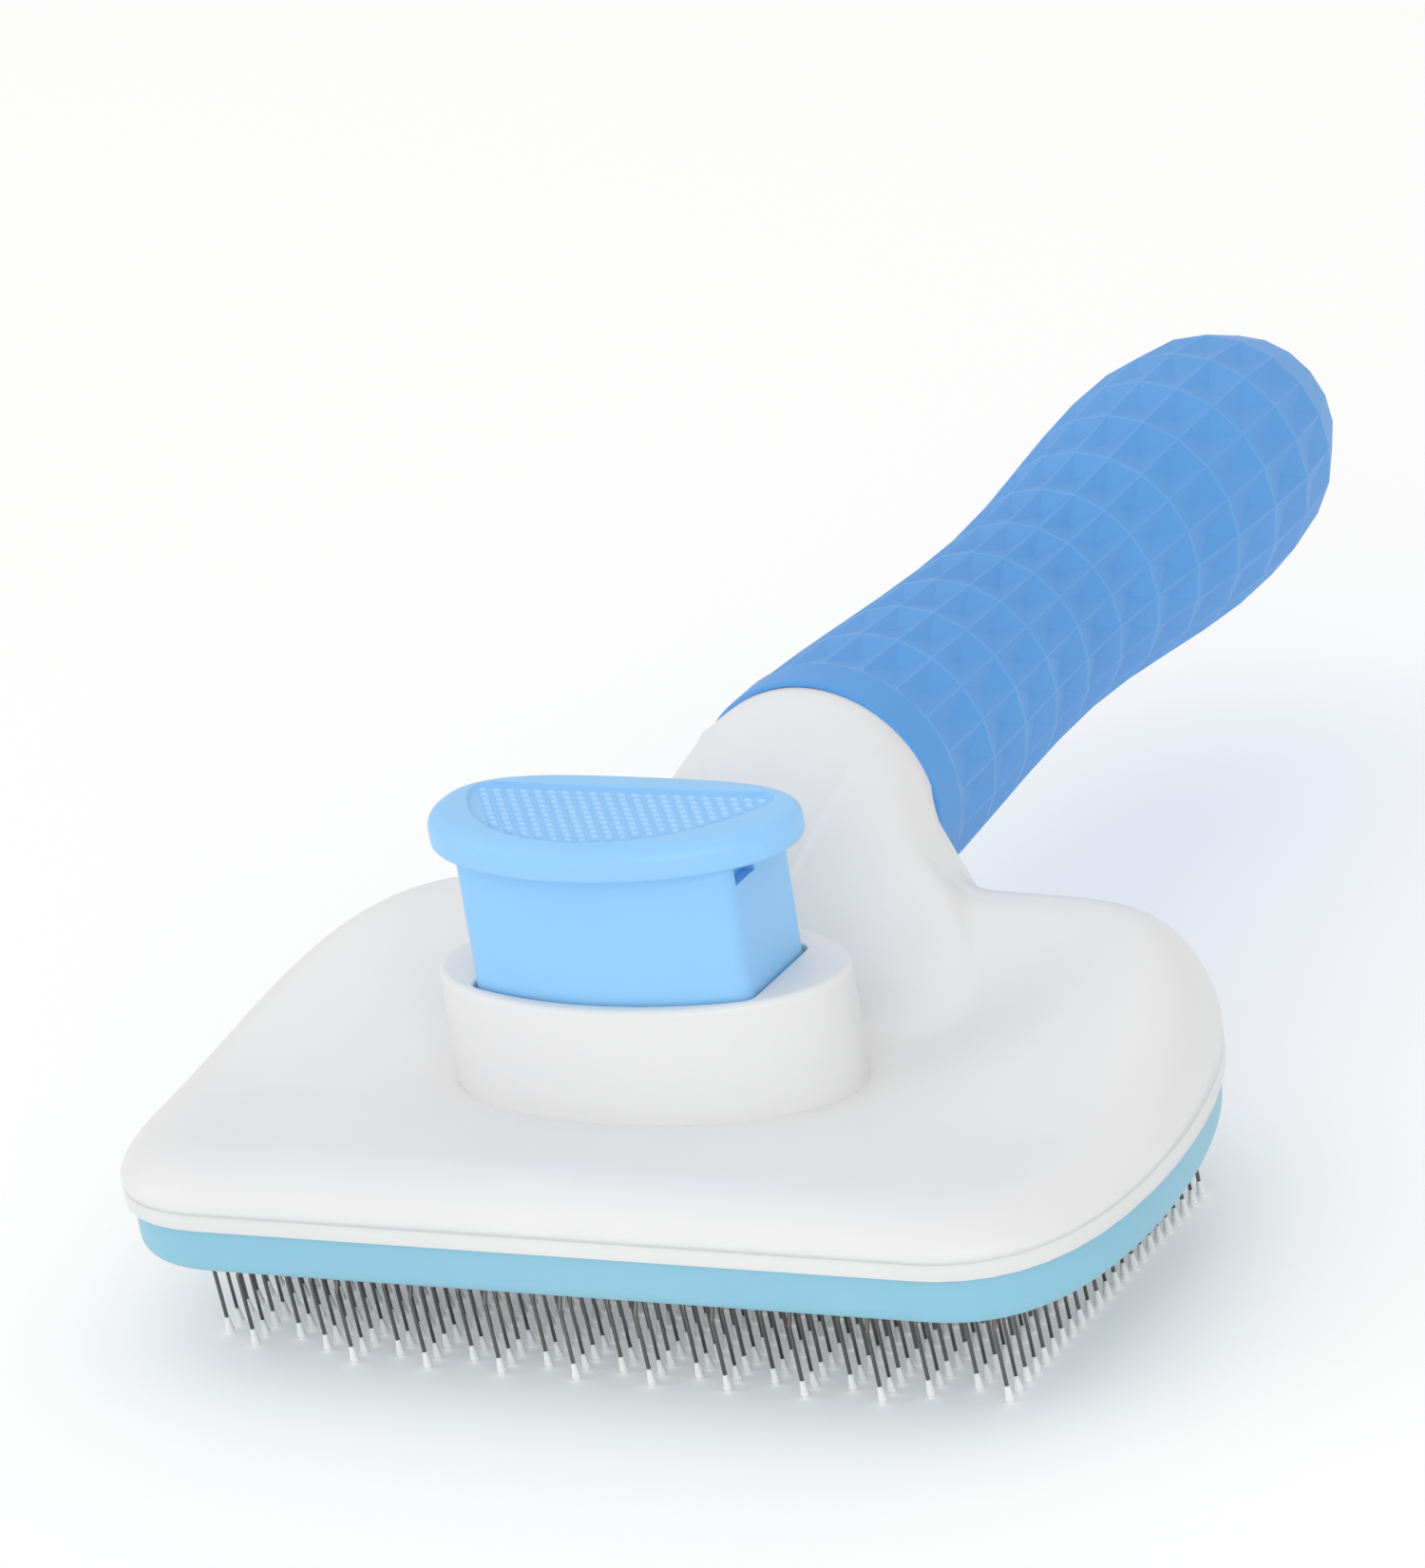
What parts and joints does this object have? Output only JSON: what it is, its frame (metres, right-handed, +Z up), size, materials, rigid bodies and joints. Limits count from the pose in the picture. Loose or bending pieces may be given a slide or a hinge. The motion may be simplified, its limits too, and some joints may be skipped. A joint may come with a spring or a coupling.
{
  "type": "slicker brush",
  "caption": "Pet grooming slicker brush with bent wire pins, a slotted plate that a thumb button pushes down to strip hair, and a soft faceted grip.",
  "frame": {"origin": "under the middle of the overall length, on the symmetry plane, at the level of the pin tips", "axes": "+Z up out of the button, +Y along the handle away from the head, +X across the head"},
  "size_m": [0.1078, 0.183, 0.0513],
  "materials": {
    "housing_white": "satin moulded ABS",
    "chassis_white": "satin moulded ABS",
    "base_blue": "matte moulded plastic",
    "plate_cyan": "satin moulded plastic",
    "button_blue": "satin moulded plastic",
    "grip_blue": "matte thermoplastic rubber",
    "pin_steel": "drawn wire",
    "tip_white": "glossy resin bead",
    "steel": "zinc-plated"
  },
  "bodies": {
    "housing": {"upper_shell": "housing_white", "lower_chassis": "chassis_white", "pin_base": "base_blue", "pin_wires_a": "pin_steel", "pin_wires_b": "pin_steel", "pin_wires_c": "pin_steel", "pin_wires_d": "pin_steel", "pin_wires_e": "pin_steel", "pin_wires_f": "pin_steel", "pin_tips_a": "tip_white", "pin_tips_b": "tip_white", "pin_tips_c": "tip_white", "pin_tips_d": "tip_white", "pin_tips_e": "tip_white", "pin_tips_f": "tip_white", "button_collar": "housing_white", "return_springs": "steel", "shell_screws": "steel", "base_screws": "steel", "collar_screws": "steel", "neck_screws": "steel", "core_screws": "steel", "handle_core_upper": "chassis_white", "handle_core_lower": "chassis_white", "grip_sleeve": "grip_blue"},
    "plunger": {"stripper_plate": "plate_cyan", "button_body": "button_blue", "button_cap": "button_blue"}
  },
  "joints": [
    {"name": "button_press", "type": "slide", "parent": "housing", "child": "plunger", "axis": [0, 0, -1], "range_m": [0, 0.008], "stiffness_N_per_m": 600, "springref_m": -0.004, "deforming": ["return_springs"]}
  ]
}
